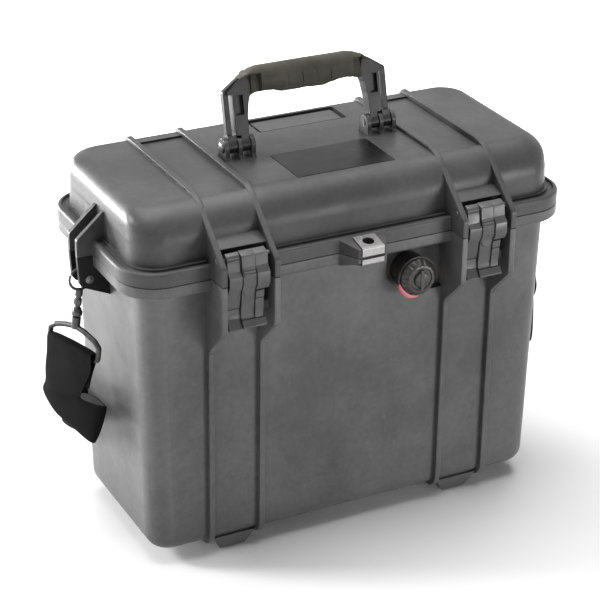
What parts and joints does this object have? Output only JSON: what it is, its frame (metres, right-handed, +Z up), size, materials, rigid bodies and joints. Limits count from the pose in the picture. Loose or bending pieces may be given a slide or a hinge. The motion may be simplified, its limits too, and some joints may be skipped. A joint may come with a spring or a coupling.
{
  "type": "laptop hard case",
  "caption": "Deep ribbed hard case for a laptop with a hinged domed lid, release latches, folding top handle, vent valve and a hooked shoulder strap.",
  "frame": {"origin": "centre of the footprint on the floor, under the case", "axes": "+X along the front from left to right, +Y from the latches to the hinges, +Z up"},
  "size_m": [0.4638, 0.219, 0.385],
  "materials": {
    "shell": "textured moulded plastic, scuffed",
    "seal": "soft rubber",
    "foam": "open-cell foam",
    "steel": "brushed stainless",
    "latch": "smooth moulded plastic",
    "valve": "satin moulded plastic",
    "valve_seal": "red rubber",
    "membrane": "thin membrane",
    "handle": "moulded plastic",
    "grip": "over-moulded rubber",
    "label": "matt film",
    "hook": "dark plated steel",
    "web": "woven webbing"
  },
  "bodies": {
    "base": {"base_shell": "shell", "base_rim": "shell", "base_feet": "shell", "base_ribs_left": "shell", "base_ribs_right": "shell", "base_fins_left": "shell", "base_fins_right": "shell", "latch_strike_left": "shell", "latch_strike_right": "shell", "base_foam": "foam", "hinge_pin_left": "steel", "hinge_pin_right": "steel", "padlock_plate_lower": "steel", "valve_body": "valve", "valve_ring": "valve_seal", "valve_nut": "valve", "valve_membrane": "membrane", "strap_pin_left": "steel", "strap_pin_right": "steel", "strap_web": "web"},
    "lid": {"lid_shell": "shell", "gasket": "seal", "lid_foam": "foam", "padlock_plate_upper": "steel", "label_plate": "label", "handle_pin_left": "steel", "handle_pin_right": "steel"},
    "handle": {"handle_frame": "handle", "handle_grip": "grip"},
    "valve_knob": {"valve_cap": "valve"},
    "latch_hook_left": {"latch_link_left": "latch", "latch_pin_left": "steel"},
    "latch_release_left": {"latch_lever_left": "latch"},
    "strap_fitting_left": {"strap_loop_left": "hook", "strap_end_left": "web"},
    "snap_left": {"snap_hook_left": "hook"},
    "gate_left": {"hook_gate_left": "hook"},
    "latch_hook_right": {"latch_link_right": "latch", "latch_pin_right": "steel"},
    "latch_release_right": {"latch_lever_right": "latch"},
    "strap_fitting_right": {"strap_loop_right": "hook", "strap_end_right": "web"},
    "snap_right": {"snap_hook_right": "hook"},
    "gate_right": {"hook_gate_right": "hook"}
  },
  "joints": [
    {"name": "lid_hinge", "type": "hinge", "parent": "base", "child": "lid", "pos_m": [0, 0.103, 0.2593], "axis": [-1, 0, 0], "range_deg": [0, 105]},
    {"name": "handle_fold", "type": "hinge", "parent": "lid", "child": "handle", "pos_m": [0, 0.007, 0.324], "axis": [1, 0, 0], "range_deg": [-75, 95]},
    {"name": "valve_turn", "type": "hinge", "parent": "base", "child": "valve_knob", "pos_m": [0.05, -0.095, 0.2255], "axis": [0, -1, 0], "range_deg": [0, 270]},
    {"name": "latch_left_open", "type": "hinge", "parent": "lid", "child": "latch_hook_left", "pos_m": [-0.1062, -0.097, 0.277], "axis": [-1, 0, 0], "range_deg": [0, 100]},
    {"name": "latch_left_release", "type": "hinge", "parent": "latch_hook_left", "child": "latch_release_left", "pos_m": [-0.1062, -0.097, 0.277], "axis": [-1, 0, 0], "range_deg": [0, 25]},
    {"name": "strap_left_swing", "type": "hinge", "parent": "base", "child": "strap_fitting_left", "pos_m": [-0.2008, 0.001, 0.2395], "axis": [0, 1, 0], "range_deg": [-5, 45], "deforming": ["strap_web"]},
    {"name": "hook_left_swivel", "type": "hinge", "parent": "strap_fitting_left", "child": "snap_left", "pos_m": [-0.2055, -0.001, 0.2372], "axis": [0.1288, 0, 0.9917], "range_deg": [-8, 8]},
    {"name": "gate_left_open", "type": "hinge", "parent": "snap_left", "child": "gate_left", "pos_m": [-0.21393, -0.001, 0.2342], "axis": [0, 1, 0], "range_deg": [0, 25], "stiffness_Nm_per_rad": 0.02},
    {"name": "latch_right_open", "type": "hinge", "parent": "lid", "child": "latch_hook_right", "pos_m": [0.1062, -0.097, 0.277], "axis": [-1, 0, 0], "range_deg": [0, 100]},
    {"name": "latch_right_release", "type": "hinge", "parent": "latch_hook_right", "child": "latch_release_right", "pos_m": [0.1062, -0.097, 0.277], "axis": [-1, 0, 0], "range_deg": [0, 25]},
    {"name": "strap_right_swing", "type": "hinge", "parent": "base", "child": "strap_fitting_right", "pos_m": [0.2008, 0.001, 0.2395], "axis": [0, -1, 0], "range_deg": [-5, 45], "deforming": ["strap_web"]},
    {"name": "hook_right_swivel", "type": "hinge", "parent": "strap_fitting_right", "child": "snap_right", "pos_m": [0.2055, -0.001, 0.2372], "axis": [-0.1288, 0, 0.9917], "range_deg": [-8, 8]},
    {"name": "gate_right_open", "type": "hinge", "parent": "snap_right", "child": "gate_right", "pos_m": [0.21393, -0.001, 0.2342], "axis": [0, -1, 0], "range_deg": [0, 25], "stiffness_Nm_per_rad": 0.02}
  ]
}
